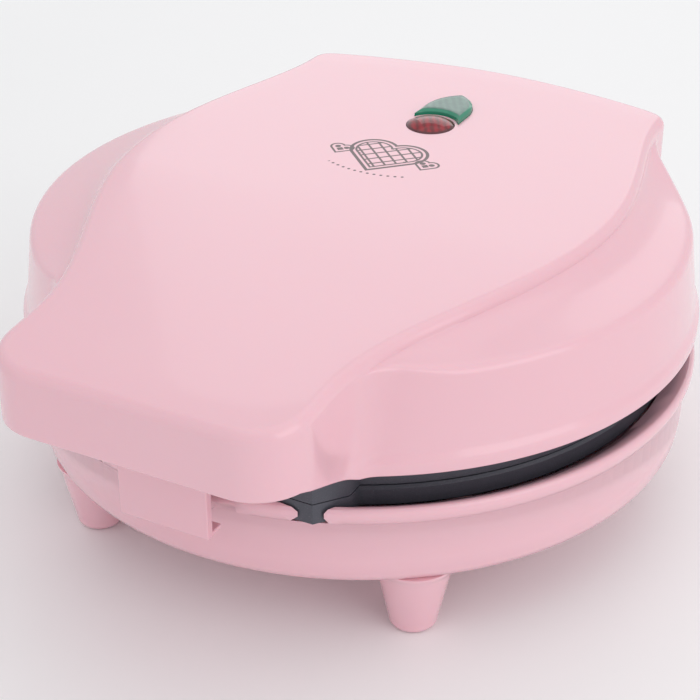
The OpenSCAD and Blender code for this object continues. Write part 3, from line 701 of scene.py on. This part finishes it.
# ---- lamp lenses: a domed button and a bevelled shield
def buildLenses():
    r, low, dome = lens["radius"], topZ - 3.7, boxOf["power_lens"][1][2] - topZ
    ball = (r * r + dome * dome) / (2 * dome)
    x = r * np.cos(np.linspace(0.12, np.pi / 2 - 0.04, 16))
    cap = np.stack([x, topZ + np.sqrt(ball ** 2 - x ** 2) - ball + dome], -1)
    flange = [(0.3, low), (r + 1, low), (r + 1, low + 1.1), (r, low + 1.2), (r, topZ - 0.1)]
    button = outward(turned(np.concatenate([flange, cap]), 72, (0, lens["y"])))
    addPiece("powerLens", button, redLens, "lid", ["power_lens"])
    rise = boxOf["ready_lens"][1][2] - topZ
    rows = [(0.9, -3.6), (0.9, -2.4), (0, -2.3), (0, 0.9), (-0.12, 1.15), (-0.4, 1.35),
            (-1.15, rise - 0.12), (-1.45, rise)]
    plans = [(shieldPlan(grow), topZ + z) for grow, z in rows]
    middle = np.array([0, lens["y"] + 17.0])
    plans = [(middle + (plans[0][0] - middle) * 0.3, plans[0][1])] + plans
    plans += [(middle + (plans[-1][0] - middle) * part, plans[-1][1]) for part in (0.75, 0.5, 0.25)]
    rings = np.stack([np.column_stack([plan, np.full(len(plan), z)]) for plan, z in plans])
    addPiece("readyLens", outward(ringSkin(rings)), greenLens, "lid", ["ready_lens"], sharp=28)


buildLenses()
print("lenses are made")


# ---- carried-over shapes: merged copies of CAD nodes with eased edges and finer shading
def eased(node, material, width):
    # the node's triangles welded, flat regions joined, and a narrow bevel on its real edges
    source = frame["nodes"][node]
    mesh = source.data.copy()
    weld = bmesh.new()
    weld.from_mesh(mesh)
    bmesh.ops.remove_doubles(weld, verts=weld.verts, dist=2e-6)
    bmesh.ops.dissolve_limit(weld, angle_limit=math.radians(0.4), verts=weld.verts, edges=weld.edges,
                             delimit={"NORMAL"})
    weld.to_mesh(mesh)
    weld.free()
    mesh.materials.clear()
    mesh.materials.append(material)
    mesh.polygons.foreach_set("use_smooth", np.ones(len(mesh.polygons), bool))
    mesh.set_sharp_from_angle(angle=math.radians(32))
    piece = bpy.data.objects.new(node + "_eased", mesh)
    bpy.context.scene.collection.objects.link(piece)
    if width:
        bevel = piece.modifiers.new("eased edges", "BEVEL")
        bevel.width, bevel.segments = width * mm, 2
        bevel.limit_method, bevel.angle_limit = "ANGLE", math.radians(40)
        bevel.harden_normals = False
    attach(piece, source["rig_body"])
    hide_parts(node)
    return piece


# ---- feet: cones with a rounded lower edge, each on its own screw
def buildFeet():
    nearCorner, farCorner = boxOf["foot_front_right"]
    reach, height = (farCorner[0] - nearCorner[0]) / 2, boxOf["base_housing"][0][2]
    low, ease = 7.5, 2.5
    a = np.radians(np.linspace(-88, 0, 14))
    curve = np.stack([low - ease + ease * np.cos(a), ease + ease * np.sin(a)], -1)
    side = np.linspace(curve[-1], (reach - 1.1, height - 3), 14)[1:]
    lip = bezier([side[-1], (reach - 0.5, height - 1.4), (reach, height - 1), (reach, height - 0.02)], 8)[1:]
    sole, head = [(0.4, 0.02), (low - ease - 0.4, 0.02)], [(reach - 0.8, height), (0.5, height)]
    profile = np.concatenate([sole, curve, side, lip, head])
    for name in ("foot_front_left", "foot_front_right", "foot_rear_left", "foot_rear_right"):
        lowCorner, highCorner = boxOf[name]
        centre = ((lowCorner[0] + highCorner[0]) / 2, (lowCorner[1] + highCorner[1]) / 2 - axisY)
        cone = outward(turned(profile, 96, centre))
        addPiece(name + "_cone", cone, pinkPlastic, "base", [name])


buildFeet()
print("feet are made")
bevelOf = {"latch": 0.45}
slotFinish = {"pink_shell": pinkPlastic, "nonstick_plate": nonstick, "bright_steel": steel,
              "element_sheath": sheath, "reflector_sheet": reflectorSheet, "black_moulding": blackMoulding,
              "ceramic": ceramic, "lead_sleeve": leadSleeve, "red_lens": redLens, "green_lens": greenLens,
              "lamp_bulb": bulbGlass, "lamp_board": boardLaminate}
nodeSlot = {part["node"]: part["material_slot"] for part in frame["record"]["subparts"]}
for node, slotName in nodeSlot.items():
    if not frame["nodes"][node].hide_render:
        eased(node, slotFinish[slotName], bevelOf.get(node, 0))
print("carried-over pieces are finished")


# ---- floor
def buildFloor():
    mesh = bpy.data.meshes.new("floor")
    half = 3.0
    corners = [(-half, -half, 0), (half, -half, 0), (half, half, 0), (-half, half, 0)]
    mesh.from_pydata(corners, [], [(0, 1, 2, 3)])
    mesh.materials.append(paleFloor)
    floor = bpy.data.objects.new("floor", mesh)
    bpy.context.scene.collection.objects.link(floor)


buildFloor()
